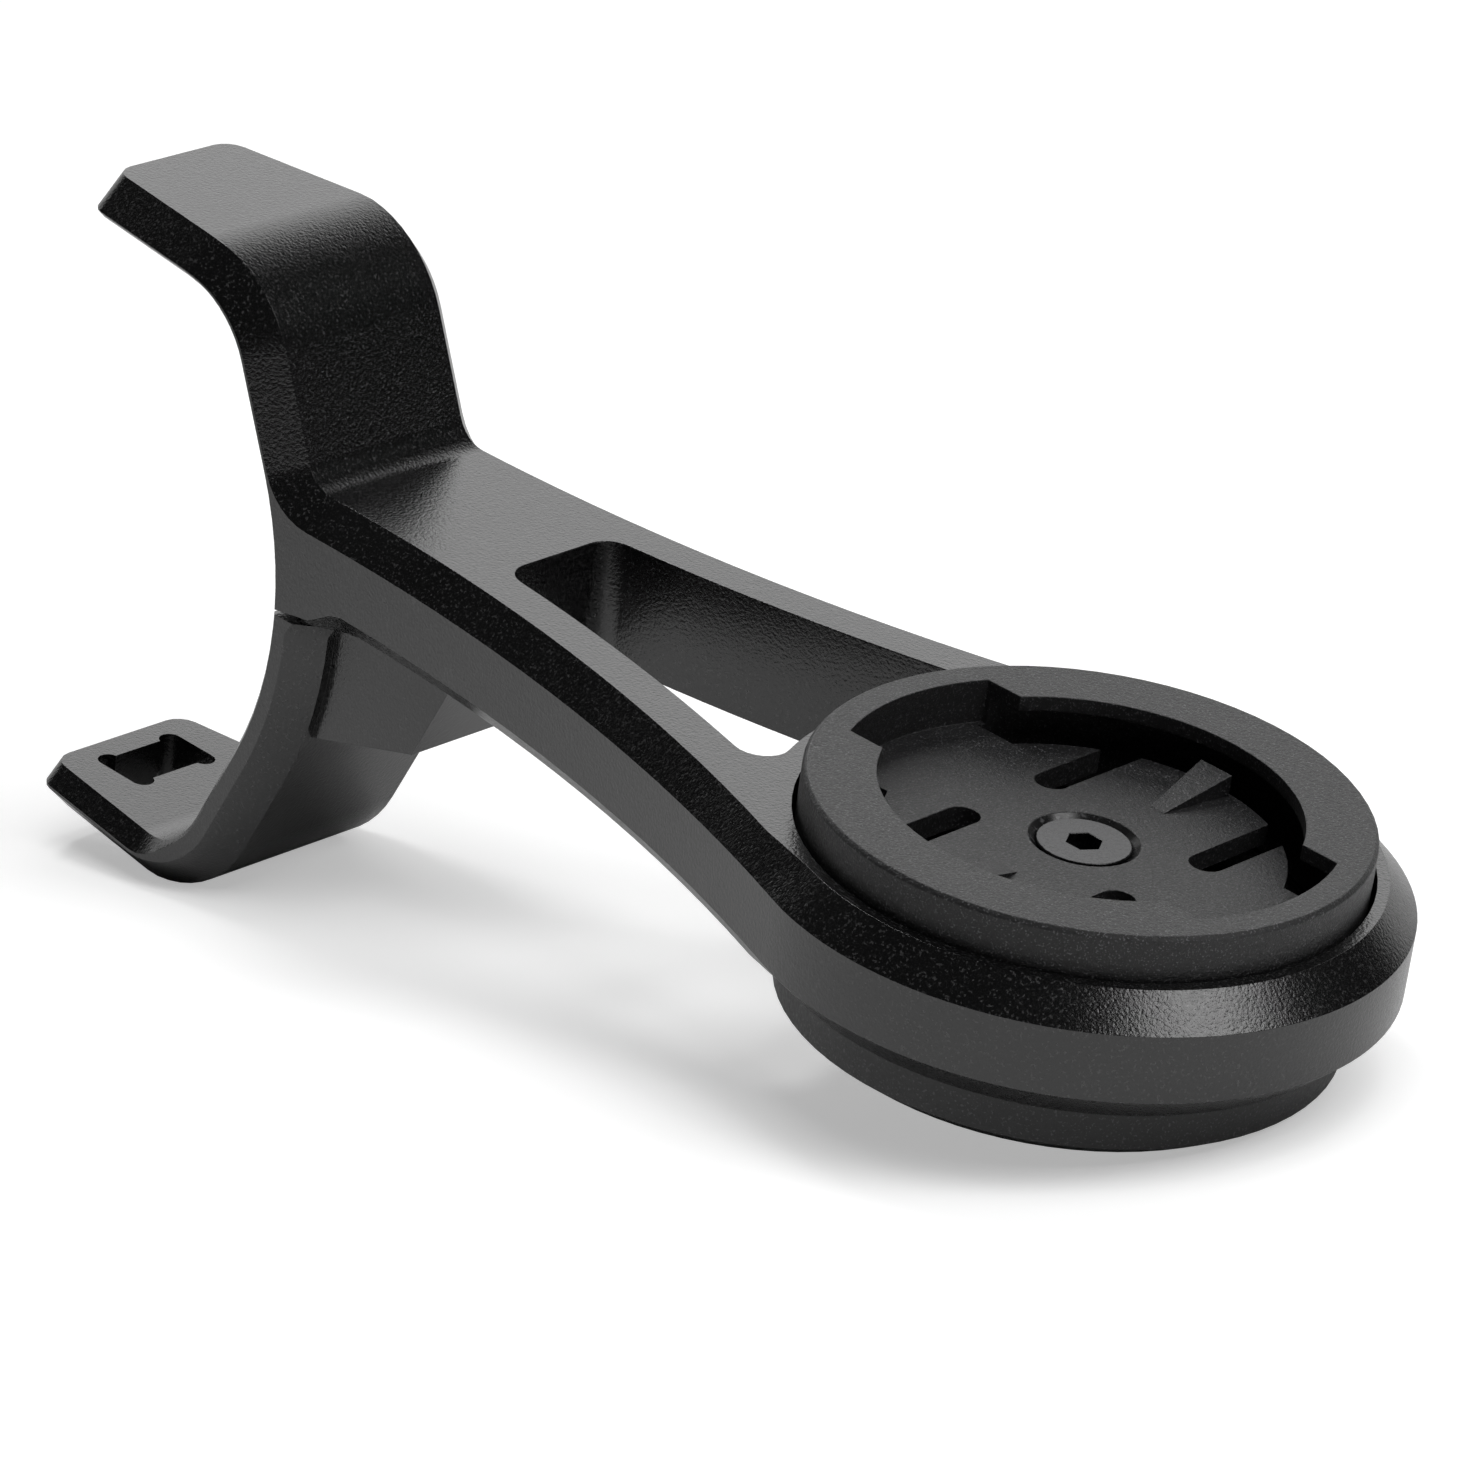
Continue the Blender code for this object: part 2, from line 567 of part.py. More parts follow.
def make_clamp_fasteners(parent, steel):
    head_top = CLAMP_SEAT_Z - GAP - WASHER_THICKNESS - GAP
    head_low = head_top - CLAMP_HEAD_HEIGHT
    tip = ARM_BOTTOM_Z + CLAMP_THREAD_DEPTH - GAP
    profile = [(0, tip), (CLAMP_SCREW_R - 0.4, tip), (CLAMP_SCREW_R, tip - 0.4), (CLAMP_SCREW_R, head_top),
               (CLAMP_HEAD_R, head_top), (CLAMP_HEAD_R, head_low + 0.3), (CLAMP_HEAD_R - 0.3, head_low),
               (0, head_low)]
    place = (CLAMP_SCREW_X, 0.0, head_low)
    screw = new_object("clamp_screw", turned(profile, SMALL_STEPS, (CLAMP_SCREW_X, 0)), steel, parent, place)
    socket = hexagon(CLAMP_SOCKET_ACROSS, head_low - 1, head_low + CLAMP_SOCKET_DEPTH, (CLAMP_SCREW_X, 0))
    boolean(screw, socket, "cut_clamp_socket")
    low = CLAMP_SEAT_Z - GAP - WASHER_THICKNESS
    washer = new_object("clamp_washer", rod(WASHER_R, low, low + WASHER_THICKNESS, (CLAMP_SCREW_X, 0)),
                        steel, parent)
    boolean(washer, rod(CLAMP_SCREW_R + GAP, low - 1, low + 2, (CLAMP_SCREW_X, 0)), "cut_washer_hole")
    for side, name in ((1, "locating_pin_left"), (-1, "locating_pin_right")):
        centre = (PIN_X, side * PIN_SPACING_Y / 2)
        top = ARM_BOTTOM_Z + PIN_IN_ARM
        bottom = CLAMP_TOP_Z - PIN_IN_CLAMP
        profile = [(0, top), (PIN_R - 0.2, top), (PIN_R, top - 0.2), (PIN_R, bottom + 0.2),
                   (PIN_R - 0.2, bottom), (0, bottom)]
        new_object(name, turned(profile, 20, centre), steel, parent)


def socket_opening(low, high):
    """The puck's opening seen from above: a round hole with a wider, straight-sided notch at front and rear."""
    reach = math.asin(WIDE_HALF_WIDTH / WIDE_R)
    inner = math.asin(WIDE_HALF_WIDTH / NARROW_R)
    outline = []
    for start in (0.0, math.pi):
        outline += arc_points(WIDE_R, start - reach, start + reach, 12)
        outline += arc_points(NARROW_R, start + inner, start + math.pi - inner, 30)
    return prism(outline, low, high)


def relief_cutter(side, low, high):
    """The crescent under a lip, open to the puck's underside, where the mould's core stood."""
    outer = math.asin(RELIEF_HALF_WIDTH / RELIEF_R)
    inner = math.asin(RELIEF_HALF_WIDTH / FLOOR_R)
    outline = arc_points(RELIEF_R, outer, math.pi - outer, 30)
    outline += arc_points(FLOOR_R, math.pi - inner, inner, 30)
    return prism([(x, side * y) for x, y in outline], low, high)


def tongue_outline(side):
    """A tongue seen from above."""
    root = TONGUE_SLOT_END_Y + TONGUE_SLOT_WIDTH / 2 + GAP
    start = math.acos(TONGUE_HALF_WIDTH / FLOOR_R)
    outline = [(-TONGUE_HALF_WIDTH, root), (TONGUE_HALF_WIDTH, root)]
    outline += arc_points(FLOOR_R, start, math.pi - start, 12)
    return [(x, side * y) for x, y in outline]


def tongue_window(side):
    """The hole in the puck's floor that a tongue and the two round-ended slots beside it fill."""
    radius = TONGUE_SLOT_WIDTH / 2
    root = TONGUE_SLOT_END_Y + radius
    outer = TONGUE_SLOT_X + radius
    reach = (FLOOR_R + RELIEF_R) / 2
    start = math.acos(outer / reach)
    ends = [(TONGUE_SLOT_X + radius * math.cos(-angle), root + radius * math.sin(-angle))
            for angle in (math.pi * k / 8 for k in range(9))]
    outline = [(-x, y) for x, y in ends] + list(reversed(ends)) + arc_points(reach, start, math.pi - start, 12)
    return [(x, side * y) for x, y in outline]


def underside_cutter(side):
    """The hollow under the puck's floor, on one side of the bar that carries the key."""
    start = math.asin((KEY_HALF_WIDTH + KEY_BAR_MARGIN) / HOLLOW_R)
    outline = arc_points(HOLLOW_R, start, math.pi - start, 32)
    return prism([(x, side * y) for x, y in outline], PUCK_BOTTOM_Z - 2, FLOOR_Z - FLOOR_THICKNESS)


def make_puck(parent, plastic):
    rim = PUCK_EDGE_BREAK
    profile = [(0, 0), (PUCK_R - rim, 0), (PUCK_R, -rim), (PUCK_R, PUCK_BOTTOM_Z + rim),
               (PUCK_R - rim, PUCK_BOTTOM_Z), (0, PUCK_BOTTOM_Z)]
    puck = new_object("quarter_turn_puck", turned(profile, RING_STEPS), plastic, parent)
    boolean(puck, socket_opening(FLOOR_Z, 2.0), "cut_socket")
    for side, name in ((1, "left"), (-1, "right")):
        boolean(puck, underside_cutter(side), "cut_underside_" + name)
        boolean(puck, relief_cutter(side, PUCK_BOTTOM_Z - 2, -LIP_THICKNESS), "cut_relief_" + name)
        boolean(puck, prism(tongue_window(side), PUCK_BOTTOM_Z - 3, FLOOR_Z + 1), "cut_tongue_" + name,
                solver="MANIFOLD")
    key = prism([(-KEY_HALF_LENGTH, -KEY_HALF_WIDTH), (KEY_HALF_LENGTH, -KEY_HALF_WIDTH),
                 (KEY_HALF_LENGTH, KEY_HALF_WIDTH), (-KEY_HALF_LENGTH, KEY_HALF_WIDTH)],
                PUCK_BOTTOM_Z - KEY_DEPTH, PUCK_BOTTOM_Z + 1)
    boolean(puck, key, "join_key", "UNION")
    boss = rod(PUCK_BOSS_R, PUCK_BOTTOM_Z + 0.4, FLOOR_Z - FLOOR_THICKNESS - 0.5)
    boolean(puck, boss, "join_boss", "UNION")
    head_depth = SINK_R - CENTRE_SCREW_R - GAP
    sink = [(0, FLOOR_Z + 1), (SINK_R, FLOOR_Z + 1), (SINK_R, FLOOR_Z), (CENTRE_SCREW_R + GAP, FLOOR_Z - head_depth),
            (CENTRE_SCREW_R + GAP, PUCK_BOTTOM_Z - 3), (0, PUCK_BOTTOM_Z - 3)]
    boolean(puck, turned(sink), "cut_screw_sink")
    return puck


def ramp(side):
    """The wedge on a tongue's outer end, rising outwards."""
    bm = bmesh.new()
    low = FLOOR_Z - 0.3
    start = RAMP_START_WIDTH / 2
    end = RAMP_END_WIDTH / 2
    corners = [
        (-start, RAMP_START_Y, low), (start, RAMP_START_Y, low), (end, RAMP_END_Y, low), (-end, RAMP_END_Y, low),
        (-start, RAMP_START_Y, FLOOR_Z + 0.02), (start, RAMP_START_Y, FLOOR_Z + 0.02),
        (end, RAMP_END_Y, FLOOR_Z + RAMP_HEIGHT), (-end, RAMP_END_Y, FLOOR_Z + RAMP_HEIGHT),
    ]
    verts = [bm.verts.new((x, side * y, z)) for x, y, z in corners]
    bmesh.ops.convex_hull(bm, input=verts)
    return bm


def make_tongue(side, name, parent, plastic):
    """A tongue is moulded in one with the puck; it is a solid of its own because it bends about its root."""
    root = TONGUE_SLOT_END_Y + TONGUE_SLOT_WIDTH / 2
    hinge = (0.0, side * root, FLOOR_Z - TONGUE_THICKNESS / 2)
    body = prism(tongue_outline(side), FLOOR_Z - TONGUE_THICKNESS, FLOOR_Z)
    tongue = new_object(name, body, plastic, parent, hinge)
    boolean(tongue, ramp(side), "join_ramp_" + name, "UNION")
    return tongue


def make_centre_screw(parent, steel):
    neck = CENTRE_HEAD_Z - CENTRE_HEAD_HEIGHT
    profile = [(0, CENTRE_HEAD_Z), (CENTRE_HEAD_R, CENTRE_HEAD_Z), (CENTRE_HEAD_R, CENTRE_HEAD_Z - 0.2),
               (CENTRE_SCREW_R, neck), (CENTRE_SCREW_R, CENTRE_TIP_Z + 0.3), (CENTRE_SCREW_R - 0.3, CENTRE_TIP_Z),
               (0, CENTRE_TIP_Z)]
    screw = new_object("centre_screw", turned(profile), steel, parent, (0.0, 0.0, CENTRE_HEAD_Z))
    socket = hexagon(CENTRE_SOCKET_ACROSS, CENTRE_HEAD_Z - CENTRE_SOCKET_DEPTH, CENTRE_HEAD_Z + 1)
    boolean(screw, socket, "cut_centre_socket")
    return screw


def make_cap(parent, plastic, steel):
    bevel_z = CAP_BOTTOM_Z + CAP_BEVEL_HEIGHT
    spigot_top = PUCK_BOTTOM_Z - SPIGOT_BELOW_PUCK
    profile = [(0, spigot_top), (CAP_SPIGOT_R - 0.3, spigot_top), (CAP_SPIGOT_R, spigot_top - 0.3),
               (CAP_SPIGOT_R, CAP_TOP_Z), (CAP_R - 0.2, CAP_TOP_Z), (CAP_R, CAP_TOP_Z - 0.2), (CAP_R, bevel_z),
               (CAP_BOTTOM_R, CAP_BOTTOM_Z), (0, CAP_BOTTOM_Z)]
    cap = new_object("bottom_cap", turned(profile, RING_STEPS), plastic, parent)
    boolean(cap, rod(CENTRE_SCREW_R + GAP, CAP_BOTTOM_Z - 1, spigot_top + 1), "cut_cap_hole")
    pocket_top = CAP_BOTTOM_Z + GAP + NUT_HEIGHT + GAP
    boolean(cap, hexagon(NUT_ACROSS + 2 * GAP, CAP_BOTTOM_Z - 1, pocket_top), "cut_nut_pocket",
            solver="MANIFOLD")
    nut_low = CAP_BOTTOM_Z + GAP
    nut = new_object("centre_nut", hexagon(NUT_ACROSS, nut_low, nut_low + NUT_HEIGHT), steel, parent)
    boolean(nut, rod(CENTRE_SCREW_R + GAP, nut_low - 1, nut_low + NUT_HEIGHT + 1), "cut_nut_bore")


# ---------------------------------------------------------------- resting place

def resting_tilt():
    """Slope of the surface that touches the clamp's lower bend and the front of the cap's bottom edge."""
    bend = throat_centre(-1)
    radius = THROAT_BEND_R + LOWER_WALL
    reach = Vector((CAP_BOTTOM_R, CAP_BOTTOM_Z)) - bend
    return math.atan2(reach.y, reach.x) + math.asin(radius / reach.length)


def set_down(frame):
    """Tips the mount level with the surface it rests on and brings the middle of its box over the origin."""
    frame.rotation_euler = (0.0, resting_tilt(), 0.0)
    bpy.context.view_layer.update()
    depsgraph = bpy.context.evaluated_depsgraph_get()
    points = []
    for obj in bpy.context.scene.objects:
        if obj.type == "MESH" and not obj.hide_render:
            solid = obj.evaluated_get(depsgraph)
            points += [solid.matrix_world @ vert.co for vert in solid.data.vertices]
    low = Vector([min(point[k] for point in points) for k in range(3)])
    high = Vector([max(point[k] for point in points) for k in range(3)])
    frame.location = (-(low.x + high.x) / 2, -(low.y + high.y) / 2, -low.z)


def main():
    clear_scene()
    aluminium = material("black_anodised_aluminium", (0.035, 0.035, 0.037), 0.45, 0.6)
    plastic = material("black_moulded_plastic", (0.045, 0.045, 0.047), 0.6, 0.0)
    steel = material("blackened_steel", (0.16, 0.16, 0.165), 0.35, 0.9)
    bright = material("zinc_plated_steel", (0.55, 0.56, 0.58), 0.3, 1.0)
    frame = bpy.data.objects.new("mount_frame", None)
    bpy.context.scene.collection.objects.link(frame)
    make_arm(frame, aluminium)
    make_lower_clamp(frame, aluminium)
    make_clamp_fasteners(frame, steel)
    make_puck(frame, plastic)
    make_tongue(1, "detent_tongue_left", frame, plastic)
    make_tongue(-1, "detent_tongue_right", frame, plastic)
    make_centre_screw(frame, steel)
    make_cap(frame, plastic, bright)
    set_down(frame)


main()
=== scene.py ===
"""Looks of the out-front mount: black anodised metal, moulded plastic and dark screws, on white paper."""

import json
import math

import bmesh
import bpy
from mathutils import Matrix, Vector


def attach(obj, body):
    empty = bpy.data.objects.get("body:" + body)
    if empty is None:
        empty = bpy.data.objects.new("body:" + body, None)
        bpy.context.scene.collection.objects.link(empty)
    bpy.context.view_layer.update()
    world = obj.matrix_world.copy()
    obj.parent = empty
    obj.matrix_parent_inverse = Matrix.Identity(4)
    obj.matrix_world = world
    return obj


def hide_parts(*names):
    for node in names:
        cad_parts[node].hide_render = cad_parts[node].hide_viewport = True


MM = 0.001

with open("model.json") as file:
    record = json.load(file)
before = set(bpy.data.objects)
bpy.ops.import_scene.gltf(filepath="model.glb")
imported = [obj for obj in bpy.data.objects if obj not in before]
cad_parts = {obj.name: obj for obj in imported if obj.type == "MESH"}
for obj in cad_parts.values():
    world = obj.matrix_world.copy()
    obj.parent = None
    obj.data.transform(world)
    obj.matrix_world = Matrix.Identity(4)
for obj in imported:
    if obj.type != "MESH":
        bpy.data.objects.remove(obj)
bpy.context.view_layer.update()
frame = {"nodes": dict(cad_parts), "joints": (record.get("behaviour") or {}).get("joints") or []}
joints = {joint["name"]: joint for joint in frame["joints"]}

# The puck's axis leans with the whole mount; everything drawn about it uses this placement.
puck_axis = Vector(joints["centre_screw_turn"]["axis"]).normalized()
puck_floor = Vector(joints["centre_screw_turn"]["pos_m"])
tilt = math.atan2(puck_axis.x, puck_axis.z)
PUCK_TOP_ABOVE_JOINT = 3.0
rim_centre = puck_floor + puck_axis * PUCK_TOP_ABOVE_JOINT * MM
puck_place = Matrix.Translation(rim_centre) @ Matrix.Rotation(tilt, 4, "Y")
from_puck = puck_place.inverted()

# Places on the frame's solids, in millimetres from the middle of the puck's rim.
ARM_TOP_Z = -2.8
WINDOW_REAR_X = -45.1
WINDOW_FRONT_X = -17.3
WINDOW_REAR_WIDTH = 5.2
WINDOW_SPREAD = 0.23
POCKET_REACH = 18.0
TONGUE_ROOT_Y = 4.1
TONGUE_MID_Z = -3.55
ROOT_GAP = 0.3
SINK_REACH = 3.5
SINK_TOP_Z = -2.93

# How near a tongue's root comes to the puck's floor, in millimetres: above, and below where it bends.
ROOT_LINE = 0.01
ROOT_RELIEF = 0.09

# Roundings of the edges, in millimetres.
WINDOW_ROUNDING = 0.38
ARM_ROUNDING = 0.16
CLAMP_ROUNDING = 0.18
PUCK_ROUNDING = 0.12
TONGUE_ROUNDING = 0.14
CAP_ROUNDING = 0.15
CENTRE_SCREW_ROUNDING = 0.09
CLAMP_SCREW_ROUNDING = 0.12
WASHER_ROUNDING = 0.08
PIN_ROUNDING = 0.06
NUT_ROUNDING = 0.12

HARD_EDGE_ANGLE = 24.0
SHARP_SHADING_ANGLE = 35.0


# ---------------------------------------------------------------- mesh helpers

def finish_piece(name, bm, body, material, node):
    """Makes a piece of a bmesh that is in place, lets it ride on its body and stand for its node."""
    mesh = bpy.data.meshes.new(name)
    bm.to_mesh(mesh)
    bm.free()
    mesh.materials.append(material)
    mesh.shade_smooth()
    mesh.set_sharp_from_angle(angle=math.radians(SHARP_SHADING_ANGLE))
    piece = bpy.data.objects.new(name, mesh)
    bpy.context.scene.collection.objects.link(piece)
    normals = piece.modifiers.new("even_shading", "WEIGHTED_NORMAL")
    normals.keep_sharp = True
    normals.weight = 80
    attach(piece, body)
    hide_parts(node)
    return piece


def welded_copy(node):
    """A closed copy of a frame node, with the flat faces of its triangles joined up."""
    bm = bmesh.new()
    bm.from_mesh(frame["nodes"][node].data)
    bmesh.ops.remove_doubles(bm, verts=bm.verts, dist=0.000002)
    bmesh.ops.dissolve_limit(bm, angle_limit=math.radians(0.4), verts=bm.verts, edges=bm.edges,
                             use_dissolve_boundaries=False)
    return bm


def soften(bm, width, keep=None):
    """Rounds the hard edges by a small width in millimetres, except those that keep says stay as they are."""
    limit = math.radians(HARD_EDGE_ANGLE)
    hard = [edge for edge in bm.edges if len(edge.link_faces) == 2 and edge.calc_face_angle(0.0) > limit
            and not (keep and keep(edge))]
    bmesh.ops.bevel(bm, geom=hard, offset=width * MM, offset_type="OFFSET", segments=2, profile=0.5,
                    affect="EDGES", clamp_overlap=True, material=-1)
    bmesh.ops.recalc_face_normals(bm, faces=bm.faces)
    return bm


def softened_copy(node, width):
    return soften(welded_copy(node), width)


def from_axis(point):
    """A point's place from the middle of the puck's rim, in millimetres along the mount's own axes."""
    return (from_puck @ point) / MM


def arm_body():
    """The arm, with a broader rounding round the top of its window."""
    bm = welded_copy("arm_bracket")
    rim = []
    for edge in bm.edges:
        ends = [from_axis(vert.co) for vert in edge.verts]
        level = all(abs(end.z - ARM_TOP_Z) < 0.03 for end in ends)
        inside = all(WINDOW_REAR_X < end.x < WINDOW_FRONT_X for end in ends)
        between = all(abs(end.y) < WINDOW_REAR_WIDTH + (end.x - WINDOW_REAR_X) * WINDOW_SPREAD
                      for end in ends)
        clear = all(math.hypot(end.x, end.y) > POCKET_REACH for end in ends)
        if level and inside and between and clear and edge.calc_face_angle(0.0) > 1.0:
            rim.append(edge)
    bmesh.ops.bevel(bm, geom=rim, offset=WINDOW_ROUNDING * MM, offset_type="OFFSET", segments=3, profile=0.5,
                    affect="EDGES", clamp_overlap=True, material=-1)
    return soften(bm, ARM_ROUNDING)


def polish_sink(piece, material):
    """Gives the countersink round the middle screw its smooth moulded face."""
    piece.data.materials.append(material)
    for polygon in piece.data.polygons:
        centre = from_axis(polygon.center)
        if math.hypot(centre.x, centre.y) < SINK_REACH and centre.z < SINK_TOP_Z:
            polygon.material_index = 1


def at_tongue_root(edge):
    """True on the line where a tongue grows out of the puck's floor."""
    return all(abs(abs(vert.co.y) / MM - TONGUE_ROOT_Y) < ROOT_RELIEF + 0.01 for vert in edge.verts)


def tongue(node, side):
    """A detent tongue with its root run up to the floor, relieved below so that it can bend."""
    bm = welded_copy(node)
    for vert in bm.verts:
        if abs(abs(vert.co.y) / MM - TONGUE_ROOT_Y - ROOT_GAP) < 0.02:
            low = from_axis(vert.co).z < TONGUE_MID_Z
            vert.co.y = side * (TONGUE_ROOT_Y + (ROOT_RELIEF if low else ROOT_LINE)) * MM
    return soften(bm, TONGUE_ROUNDING, keep=at_tongue_root)


# ---------------------------------------------------------------- materials

def node_of(tree, kind, **settings):
    node = tree.nodes.new(kind)
    for key, value in settings.items():
        setattr(node, key, value)
    return node


def noise(tree, coordinates, scale, detail=2.0, roughness=0.5):
    """Noise on the piece's own coordinates; scale is in features per millimetre."""
    texture = node_of(tree, "ShaderNodeTexNoise")
    texture.inputs["Scale"].default_value = scale * 1000.0
    texture.inputs["Detail"].default_value = detail
    texture.inputs["Roughness"].default_value = roughness
    tree.links.new(coordinates, texture.inputs["Vector"])
    return texture.outputs["Fac"]


def ramp(tree, value, stops):
    """Turns a value into a colour or a level by stops of (place, level or colour)."""
    node = node_of(tree, "ShaderNodeValToRGB")
    elements = node.color_ramp.elements
    while len(elements) < len(stops):
        elements.new(0.5)
    for element, (place, level) in zip(elements, stops):
        element.position = place
        element.color = (level, level, level, 1.0) if isinstance(level, float) else (*level, 1.0)
    tree.links.new(value, node.inputs["Fac"])
    return node.outputs["Color"]


def mixed(tree, share, one, two):
    """A colour mix; share is a socket, one and two are sockets or colours."""
    node = node_of(tree, "ShaderNodeMix", data_type="RGBA")
    tree.links.new(share, node.inputs["Factor"])
    for socket, value in ((node.inputs[6], one), (node.inputs[7], two)):
        if isinstance(value, tuple):
            socket.default_value = (*value, 1.0)
        else:
            tree.links.new(value, socket)
    return node.outputs[2]


def stacked_bump(tree, layers):
    """Bumps on top of each other from (height, strength, depth in millimetres)."""
    below = None
    for height, strength, depth in layers:
        bump = node_of(tree, "ShaderNodeBump")
        bump.inputs["Strength"].default_value = strength
        bump.inputs["Distance"].default_value = depth * MM
        tree.links.new(height, bump.inputs["Height"])
        if below:
            tree.links.new(below, bump.inputs["Normal"])
        below = bump.outputs["Normal"]
    return below


def new_material(name):
    material = bpy.data.materials.new(name)
    material.use_nodes = True
    tree = material.node_tree
    shader = tree.nodes["Principled BSDF"]
    coordinates = node_of(tree, "ShaderNodeTexCoord").outputs["Object"]
    return material, tree, shader, coordinates


def anodised_metal(name, grain_scale, grain_depth, roughness, colours):
    """Bead-blasted aluminium, dyed black: a fine pitted skin, with tiny brighter specks painted into its
    colour as glints of its sparkle.
    """
    material, tree, shader, coordinates = new_material(name)
    grain = noise(tree, coordinates, grain_scale * 0.9, 2.0, 0.55)
    pits_and_painted_glints = noise(tree, coordinates, grain_scale, 1.0)
    cloud = noise(tree, coordinates, 0.09, 3.0)
    tone = mixed(tree, ramp(tree, cloud, [(0.35, 0.0), (0.7, 1.0)]), colours[0], colours[1])
    # painted glints: brighter specks in the base colour stand in for the sparkle of the blasted skin; the
    # same noise also pits the surface through the bump
    tone = mixed(tree, ramp(tree, pits_and_painted_glints, [(0.58, 0.0), (0.7, 1.0)]), tone, colours[2])
    tree.links.new(tone, shader.inputs["Base Color"])
    tree.links.new(ramp(tree, grain, [(0.3, roughness - 0.04), (0.7, roughness + 0.05)]),
                   shader.inputs["Roughness"])
    shader.inputs["Metallic"].default_value = 0.0
    shader.inputs["IOR"].default_value = 1.72
    skin = stacked_bump(tree, [(cloud, 0.06, 0.2), (grain, 1.0, grain_depth),
                               (pits_and_painted_glints, 0.7, grain_depth * 0.5)])
    tree.links.new(skin, shader.inputs["Normal"])
    return material


def moulded_plastic(name, colour, grain_scale, grain_depth, roughness):
    """Black glass-filled nylon with the fine spark-eroded grain of its mould."""
    material, tree, shader, coordinates = new_material(name)
    grain = noise(tree, coordinates, grain_scale, 3.0, 0.65)
    dust = noise(tree, coordinates, grain_scale * 1.7, 1.0)
    cloud = noise(tree, coordinates, 0.12, 3.0)
    pale = tuple(channel * 1.5 for channel in colour)
    tone = mixed(tree, ramp(tree, cloud, [(0.3, 0.0), (0.75, 1.0)]), colour, pale)
    tone = mixed(tree, ramp(tree, dust, [(0.6, 0.0), (0.72, 1.0)]), tone, tuple(c * 11.0 for c in colour))
    tree.links.new(tone, shader.inputs["Base Color"])
    tree.links.new(ramp(tree, grain, [(0.3, roughness - 0.06), (0.7, roughness + 0.1)]),
                   shader.inputs["Roughness"])
    shader.inputs["Specular IOR Level"].default_value = 0.55
    skin = stacked_bump(tree, [(grain, 0.85, grain_depth), (dust, 0.4, grain_depth * 0.5)])
    tree.links.new(skin, shader.inputs["Normal"])
    return material


def screw_steel(name, colour, roughness, grain_scale):
    """Finely mottled steel, as a chemical blacking or a zinc bath leaves it."""
    material, tree, shader, coordinates = new_material(name)
    fine = noise(tree, coordinates, grain_scale, 2.0)
    pale = tuple(channel * 1.8 for channel in colour)
    tree.links.new(mixed(tree, ramp(tree, fine, [(0.4, 0.0), (0.65, 1.0)]), colour, pale),
                   shader.inputs["Base Color"])
    tree.links.new(ramp(tree, fine, [(0.3, roughness - 0.07), (0.75, roughness + 0.12)]),
                   shader.inputs["Roughness"])
    shader.inputs["Metallic"].default_value = 1.0
    tree.links.new(stacked_bump(tree, [(fine, 0.5, 0.02)]), shader.inputs["Normal"])
    return material


def backdrop_material(name, seen_glow, mirrored_glow):
    """Paper that is pale to the lamps, so that it keeps the shadow, and glows white where it is seen."""
    material = bpy.data.materials.new(name)
    material.use_nodes = True
    tree = material.node_tree
    paper = tree.nodes["Principled BSDF"]
    paper.inputs["Base Color"].default_value = (0.8, 0.8, 0.8, 1.0)
    paper.inputs["Roughness"].default_value = 0.9
    paper.inputs["Specular IOR Level"].default_value = 0.1
    path = tree.nodes.new("ShaderNodeLightPath")
    total = None
    for ray, glow in (("Is Camera Ray", seen_glow), ("Is Transmission Ray", seen_glow),
                      ("Is Glossy Ray", mirrored_glow)):
        level = node_of(tree, "ShaderNodeMath", operation="MULTIPLY")
        level.inputs[1].default_value = glow
        tree.links.new(path.outputs[ray], level.inputs[0])
        if total:
            either = node_of(tree, "ShaderNodeMath", operation="MAXIMUM")
            tree.links.new(total, either.inputs[0])
            tree.links.new(level.outputs[0], either.inputs[1])
            total = either.outputs[0]
        else:
            total = level.outputs[0]
    shine = tree.nodes.new("ShaderNodeEmission")
    tree.links.new(total, shine.inputs["Strength"])
    both = tree.nodes.new("ShaderNodeAddShader")
    tree.links.new(paper.outputs["BSDF"], both.inputs[0])
    tree.links.new(shine.outputs["Emission"], both.inputs[1])
    tree.links.new(both.outputs["Shader"], tree.nodes["Material Output"].inputs["Surface"])
    return material


metal = anodised_metal("black_anodised_metal", 5.2, 0.028, 0.22,
                       ((0.002, 0.002, 0.0021), (0.0035, 0.0035, 0.0036), (0.03, 0.03, 0.0304)))
plastic = moulded_plastic("black_moulded_plastic", (0.008, 0.008, 0.0083), 4.6, 0.09, 0.42)
cap_plastic = moulded_plastic("black_cap_plastic", (0.005, 0.005, 0.0052), 3.6, 0.03, 0.36)
dark_steel = screw_steel("blackened_screw_steel", (0.055, 0.055, 0.056), 0.3, 4.5)
sink_plastic = moulded_plastic("smooth_sink_plastic", (0.006, 0.006, 0.0062), 1.5, 0.01, 0.26)
plated_steel = screw_steel("zinc_plated_steel", (0.55, 0.55, 0.57), 0.28, 6.0)


# ---------------------------------------------------------------- pieces made from the frame's solids

finish_piece("arm_skin", arm_body(), "arm", metal, "arm_bracket")
finish_piece("lower_clamp_skin", softened_copy("lower_clamp", CLAMP_ROUNDING), "clamp",
             metal, "lower_clamp")
puck = finish_piece("puck_skin", soften(welded_copy("quarter_turn_puck"), PUCK_ROUNDING, keep=at_tongue_root),
                    "arm", plastic, "quarter_turn_puck")
polish_sink(puck, sink_plastic)
for side_name, side in (("left", 1), ("right", -1)):
    body = "tongue_" + side_name
    finish_piece(body + "_skin", tongue("detent_" + body, side), body, plastic,
                 "detent_" + body)
finish_piece("cap_skin", softened_copy("bottom_cap", CAP_ROUNDING), "arm",
             cap_plastic, "bottom_cap")
finish_piece("centre_screw_skin", softened_copy("centre_screw", CENTRE_SCREW_ROUNDING), "middle_screw",
             dark_steel, "centre_screw")
finish_piece("clamp_screw_skin", softened_copy("clamp_screw", CLAMP_SCREW_ROUNDING), "screw",
             dark_steel, "clamp_screw")
